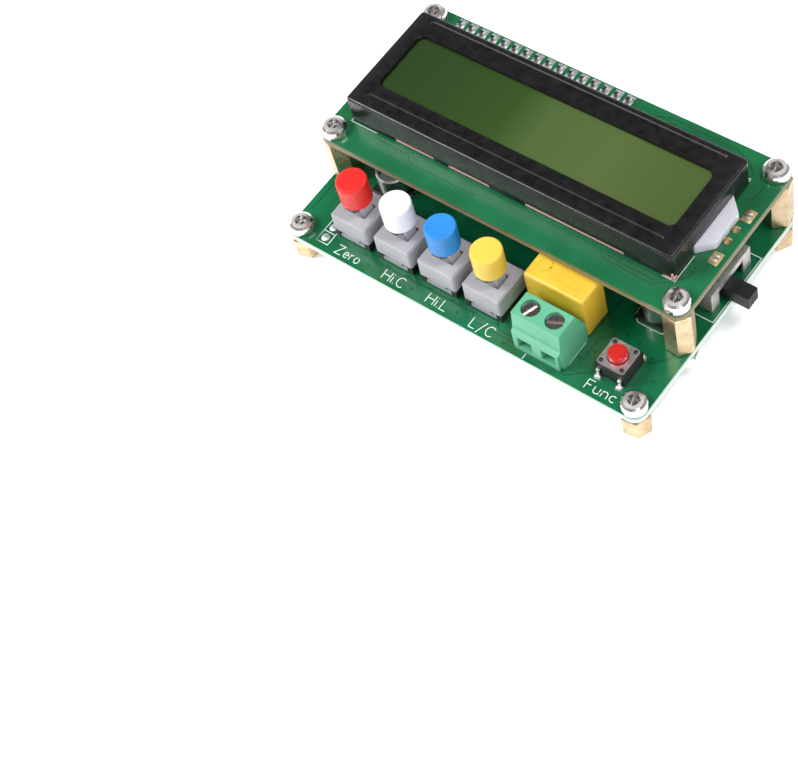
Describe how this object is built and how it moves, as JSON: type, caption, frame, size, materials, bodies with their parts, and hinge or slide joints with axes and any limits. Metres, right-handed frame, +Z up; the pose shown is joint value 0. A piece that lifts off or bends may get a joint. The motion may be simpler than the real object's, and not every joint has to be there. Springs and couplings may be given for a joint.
{
  "type": "lcr meter",
  "caption": "Bare-board inductance and capacitance meter: a character display on standoffs over a board with push switches, a terminal block and a slide switch.",
  "frame": {"origin": "bottom centre of the whole object, on the plane that the feet stand on", "axes": "+Z up, +X from the first push switch towards the slide switch, -Y towards the user"},
  "size_m": [0.0846, 0.0511, 0.0259],
  "materials": {
    "main_mask": "glossy green solder mask over a glass-fibre board",
    "display_mask": "bright green solder mask over a glass-fibre board",
    "brass": "pale turned brass, slightly dulled",
    "nickel": "bright nickel plating on steel",
    "black_metal": "satin black pressed steel",
    "display_glass": "olive green liquid crystal glass, unlit, opaque",
    "white_plastic": "translucent white light guide, faintly lilac",
    "pink_rubber": "pink silicone contact strip",
    "black_plastic": "black moulded plastic",
    "grey_plastic": "satin light grey moulded plastic",
    "red_plastic": "red moulded plastic",
    "white_cap": "white moulded plastic",
    "blue_plastic": "blue moulded plastic",
    "yellow_plastic": "yellow moulded plastic",
    "green_plastic": "green polyamide",
    "film_yellow": "yellow moulded capacitor case",
    "steel": "thin pressed steel, tinned",
    "aluminium": "drawn aluminium can",
    "ferrite": "dark grey ferrite"
  },
  "bodies": {
    "boards": {"backlight": "white_plastic", "board_screw_left": "nickel", "board_screw_right": "nickel", "crystal": "nickel", "display_board": "display_mask", "display_header": "black_plastic", "display_screw_back_left": "nickel", "display_screw_back_right": "nickel", "display_screw_front_left": "nickel", "display_screw_front_right": "nickel", "electrolytic_capacitor_left": "aluminium", "electrolytic_capacitor_right": "aluminium", "film_capacitor": "film_yellow", "foot_back_left": "brass", "foot_back_right": "brass", "foot_front_left": "brass", "foot_front_right": "brass", "function_switch_base": "black_plastic", "function_switch_cover": "steel", "header_socket": "black_plastic", "high_c_switch_base": "black_plastic", "high_c_switch_housing": "grey_plastic", "high_l_switch_base": "black_plastic", "high_l_switch_housing": "grey_plastic", "lcd_bezel": "black_metal", "lcd_glass": "display_glass", "main_board": "main_mask", "microcontroller": "black_plastic", "mode_switch_base": "black_plastic", "mode_switch_housing": "grey_plastic", "power_switch_base": "black_plastic", "power_switch_can": "steel", "reference_inductor": "ferrite", "standoff_back_left": "brass", "standoff_back_right": "brass", "standoff_front_left": "brass", "standoff_front_right": "brass", "standoff_nut_left": "nickel", "standoff_nut_right": "nickel", "terminal_housing": "green_plastic", "usb_socket": "steel", "zebra_strip_back": "pink_rubber", "zebra_strip_front": "pink_rubber", "zero_switch_base": "black_plastic", "zero_switch_housing": "grey_plastic"},
    "zero_key": {"zero_plunger": "grey_plastic", "zero_cap": "red_plastic"},
    "high_c_key": {"high_c_plunger": "grey_plastic", "high_c_cap": "white_cap"},
    "high_l_key": {"high_l_plunger": "grey_plastic", "high_l_cap": "blue_plastic"},
    "mode_key": {"mode_plunger": "grey_plastic", "mode_cap": "yellow_plastic"},
    "function_key": {"function_button": "red_plastic"},
    "power_slider": {"power_lever": "black_plastic"},
    "screw_left": {"terminal_screw_left": "nickel"},
    "clamp_left": {"terminal_clamp_left": "steel"},
    "screw_right": {"terminal_screw_right": "nickel"},
    "clamp_right": {"terminal_clamp_right": "steel"}
  },
  "joints": [
    {"name": "zero_press", "type": "slide", "parent": "boards", "child": "zero_key", "axis": [0, 0, -1], "range_m": [0, 0.0025], "stiffness_N_per_m": 600},
    {"name": "high_c_press", "type": "slide", "parent": "boards", "child": "high_c_key", "axis": [0, 0, -1], "range_m": [0, 0.0025], "stiffness_N_per_m": 600},
    {"name": "high_l_press", "type": "slide", "parent": "boards", "child": "high_l_key", "axis": [0, 0, -1], "range_m": [0, 0.0025], "stiffness_N_per_m": 600},
    {"name": "mode_press", "type": "slide", "parent": "boards", "child": "mode_key", "axis": [0, 0, -1], "range_m": [0, 0.0025], "stiffness_N_per_m": 600},
    {"name": "function_press", "type": "slide", "parent": "boards", "child": "function_key", "axis": [0, 0, -1], "range_m": [0, 0.00025], "stiffness_N_per_m": 2000},
    {"name": "power_slide", "type": "slide", "parent": "boards", "child": "power_slider", "axis": [0, 1, 0], "range_m": [0, 0.002]},
    {"name": "screw_left_turn", "type": "hinge", "parent": "boards", "child": "screw_left", "pos_m": [0.01401, -0.02045, 0.0147], "axis": [0, 0, 1], "range_deg": [-1008, 0]},
    {"name": "clamp_left_rise", "type": "slide", "parent": "boards", "child": "clamp_left", "axis": [0, 0, 1], "range_m": [0, 0.0014]},
    {"name": "screw_right_turn", "type": "hinge", "parent": "boards", "child": "screw_right", "pos_m": [0.01909, -0.02045, 0.0147], "axis": [0, 0, 1], "range_deg": [-1008, 0]},
    {"name": "clamp_right_rise", "type": "slide", "parent": "boards", "child": "clamp_right", "axis": [0, 0, 1], "range_m": [0, 0.0014]}
  ],
  "couplings": [
    {"joint": "screw_left_turn", "follows": "clamp_left_rise", "rad_per_m": -12566},
    {"joint": "screw_right_turn", "follows": "clamp_right_rise", "rad_per_m": -12566}
  ]
}
